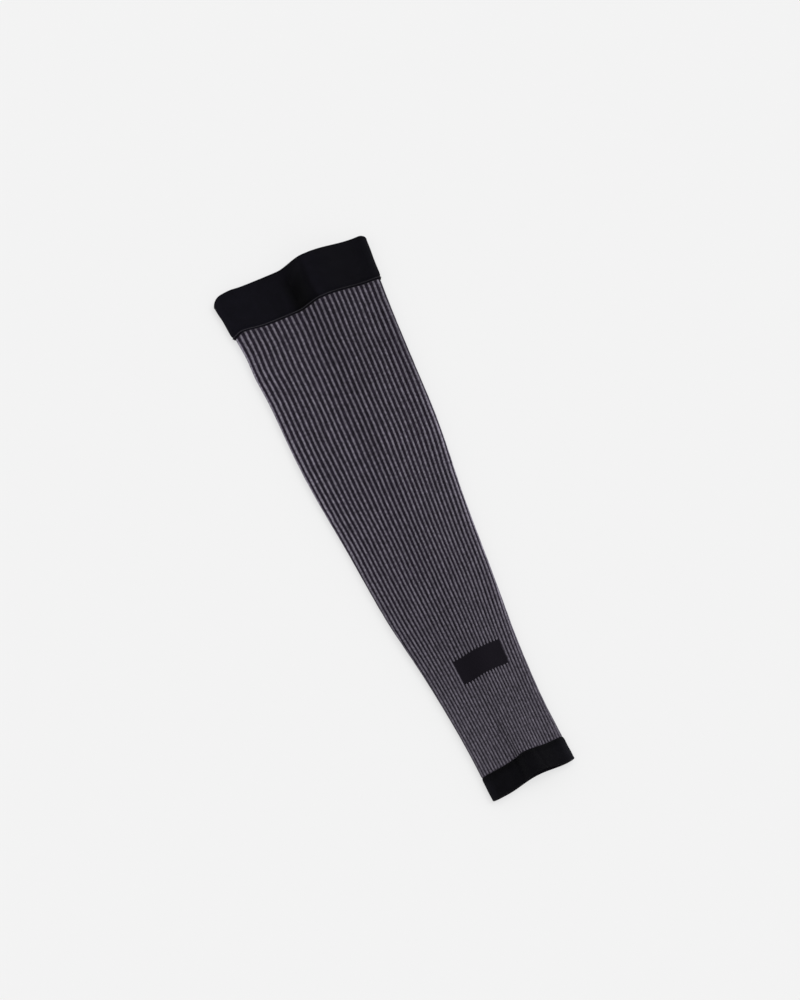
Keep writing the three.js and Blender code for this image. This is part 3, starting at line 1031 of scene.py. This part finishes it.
def band_painted_light_and_shade(shader, wale, along):
    """Painted shade of the slope beside the band's crease, deepest at its foot and by the seam, with a
    painted highlight beside it, painted shade on the right side and painted light on the left.
    """
    first, last = stripe_wales()
    slope_first = first + STRIPE_SLOPE_ENDS[0]
    slope_last = last + STRIPE_SLOPE_ENDS[1]
    stripe = shader.product(
        shader.fade_from(last, wale, *STRIPE_FOOT),
        shader.fade_from(first, wale, *STRIPE_SHOULDER),
        shader.ramp(wale, slope_first, slope_last, *STRIPE_SLOPE_SHADES),
        shader.fade_from(SLEEVE_LENGTH, along, *STRIPE_LENGTHWISE),
    )
    gleam = shader.product(
        shader.fade_from(first, wale, *GLEAM_START),
        shader.fade_from(first, wale, *GLEAM_END),
    )
    return shader.product(
        shader.fade_from(first, wale, *STRIPE_RIGHT_SIDE),
        shader.fade_from(last, wale, *STRIPE_LEFT_SIDE),
        shader.math("MULTIPLY_ADD", gleam, GLEAM_STRENGTH, 1.0),
        shader.math("MULTIPLY_ADD", stripe, STRIPE_SHADE - 1.0, 1.0),
    )


def cuff_painted_light_and_shade(shader, wale, along):
    """Painted shade and light of the cuff: darker just under its seam, paler towards its right fold."""
    under_seam = shader.fade_from(CUFF_DEPTH, along, *CUFF_SEAM_FADE)
    start, end = (CUFF_WALES_ROUND * share for share in CUFF_RIGHT_SHARES)
    return shader.product(under_seam, shader.ramp(wale, start, end, *CUFF_RIGHT_SHADES))


def plain_shade(shader, wale, along):
    """No painted broad light or shade, for the insides."""
    return 1.0


def smooth_knit(name, black, lightening, painted_shading):
    """Fine plain knit of the band and the cuff: painted shade between the stitch legs, painted light on the
    folds, and the piece's own painted broad light and shade.
    """
    shader = Shader(name)
    wale, along = shader.knit_place()
    course = shader.math("DIVIDE", along, SMOOTH_COURSE_HEIGHT)
    off_middle = from_middle(shader, wale)
    height = shader.product(
        stitch_legs(shader, off_middle, course, SMOOTH_LEG_SLANT),
        shader.ramp(off_middle, *WALE_HOLLOW_FADE),
        shader.ramp(off_middle, *WALE_MIDDLE_FADE),
    )
    cloudy = shader.knit_noise(wale, along, CLOUD_SCALES, FINE_DETAIL)
    fibre = shader.knit_noise(wale, along, SMOOTH_FIBRE_SCALES)
    shade = shader.product(
        even_about_one(shader, cloudy, SMOOTH_CLOUDS),
        patchy(shader, fibre, SMOOTH_FIBRES),
        shader.math("MULTIPLY_ADD", height, *SMOOTH_LEGS),
        painted_fold_light(shader, lightening),
        painted_shading(shader, wale, along),
    )
    shader.bump(height, *SMOOTH_BUMP)
    roughness = shader.math("MULTIPLY_ADD", cloudy, *SMOOTH_ROUGHNESS)
    return shader.finish(shader.scale(black, shade), roughness, sheen=0.03, specular=0.03)


def seam_thread():
    """Slightly lighter twisted thread of the seam's stitches."""
    shader = Shader("seam_thread")
    place = shader.object_place()
    twist = shader.noise(place, TWIST_SCALE)
    uneven = patchy(shader, shader.noise(place, PATCH_SCALE), THREAD_PATCHES)
    shade = shader.product(uneven, shader.math("MULTIPLY_ADD", twist, *THREAD_TWIST))
    shader.bump(twist, *THREAD_BUMP)
    return shader.finish(shader.scale(SEAM_BLACK, shade), roughness=0.8, sheen=0.05, specular=0.12)


# Stage, light and camera

FLOOR_SIZE = 80.0
FLOOR_ALBEDO = 0.30
FLOOR_GLOW = 0.61
FLOOR_NOISE_SCALE = 60.0
FLOOR_UNEVENNESS = 0.01
DOME_AT_HORIZON = 0.888
DOME_OVERHEAD = 0.521
KEY_DIRECTION = (0.50, 0.12, 0.86)
KEY_STRENGTH = 1.15
KEY_SPREAD = 55.0
KEY_DISTANCE = 2.0
VIEW_ELEVATION = 66.0
VIEW_AZIMUTH = -23.63
VIEW_DISTANCE = 1.8
VIEW_LENS = 72.0
SENSOR_WIDTH = 36.0
VIEW_TARGET_ACROSS = 0.4
VIEW_TARGET_ALONG = 284.3


def make_floor():
    """A pale light table: part of its light comes through it, so that shadows stay faint."""
    bpy.ops.mesh.primitive_plane_add(size=FLOOR_SIZE, location=(0, 0, 0))
    floor = bpy.context.object
    floor.name = "floor"
    shader = Shader("pale_floor")
    faint = shader.noise(shader.object_place(), FLOOR_NOISE_SCALE, FINE_DETAIL)
    colour = shader.scale((FLOOR_ALBEDO,) * 3, even_about_one(shader, faint, FLOOR_UNEVENNESS))
    shader.principled.inputs["Emission Color"].default_value = (1.0, 1.0, 1.0, 1.0)
    shader.principled.inputs["Emission Strength"].default_value = FLOOR_GLOW
    floor.data.materials.append(shader.finish(colour, roughness=0.9, sheen=0.0, specular=0.0))


def make_light():
    """A dome of light, palest towards the horizon, and a broad soft key from the right."""
    world = bpy.data.worlds.new("studio")
    world.use_nodes = True
    tree = world.node_tree
    place = tree.nodes.new("ShaderNodeTexCoord")
    split = tree.nodes.new("ShaderNodeSeparateXYZ")
    level = tree.nodes.new("ShaderNodeMapRange")
    level.inputs["To Min"].default_value = DOME_AT_HORIZON
    level.inputs["To Max"].default_value = DOME_OVERHEAD
    background = tree.nodes["Background"]
    background.inputs["Color"].default_value = (1.0, 1.0, 1.0, 1.0)
    tree.links.new(place.outputs["Generated"], split.inputs[0])
    tree.links.new(split.outputs["Z"], level.inputs["Value"])
    tree.links.new(level.outputs[0], background.inputs["Strength"])
    bpy.context.scene.world = world
    lamp = bpy.data.lights.new("key", "SUN")
    lamp.energy = KEY_STRENGTH
    lamp.angle = math.radians(KEY_SPREAD)
    key = bpy.data.objects.new("key", lamp)
    key.location = Vector(KEY_DIRECTION) * KEY_DISTANCE
    key.rotation_euler = (-Vector(KEY_DIRECTION)).to_track_quat("-Z", "Y").to_euler()
    bpy.context.collection.objects.link(key)
    bpy.context.scene.view_settings.view_transform = "Standard"


def make_camera():
    """A camera that looks at the sleeve's middle at the photograph's angle."""
    target = Vector(((VIEW_TARGET_ACROSS + x_shift) * MM, (VIEW_TARGET_ALONG + y_shift) * MM, 0.0))
    azimuth, elevation = math.radians(VIEW_AZIMUTH), math.radians(VIEW_ELEVATION)
    back = Vector((
        math.sin(azimuth) * math.cos(elevation),
        -math.cos(azimuth) * math.cos(elevation),
        math.sin(elevation),
    ))
    data = bpy.data.cameras.new("camera")
    data.lens = VIEW_LENS
    data.sensor_width = SENSOR_WIDTH
    camera = bpy.data.objects.new("camera", data)
    camera.location = target + back * VIEW_DISTANCE
    camera.rotation_euler = (-back).to_track_quat("-Z", "Y").to_euler()
    bpy.context.collection.objects.link(camera)
    bpy.context.scene.camera = camera


make_camera()
make_floor()
make_light()

body = make_body([rib_knit(), rib_knit_reverse()])
# The insides are painted lighter against their shade, and the band and cuff get their painted light and
# shade
knit_inside = smooth_knit("knit_inside", INSIDE_BLACK_PAINTED_LIGHTER, INSIDE_FOLD_LIGHT, plain_shade)
band = make_band([smooth_knit("band_knit", BAND_BLACK, BAND_FOLD_LIGHT, band_painted_light_and_shade), knit_inside])
cuff = make_cuff([smooth_knit("cuff_knit", CUFF_BLACK, CUFF_FOLD_LIGHT, cuff_painted_light_and_shade), knit_inside])
seam = make_seam(seam_thread())

for piece, node, slot in (
    (body, "sleeve_body", "ribbed_knit"),
    (band, "thigh_band", "band_knit"),
    (cuff, "ankle_cuff", "cuff_knit"),
):
    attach(piece, "root")
    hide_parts(node)
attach(seam, "root")
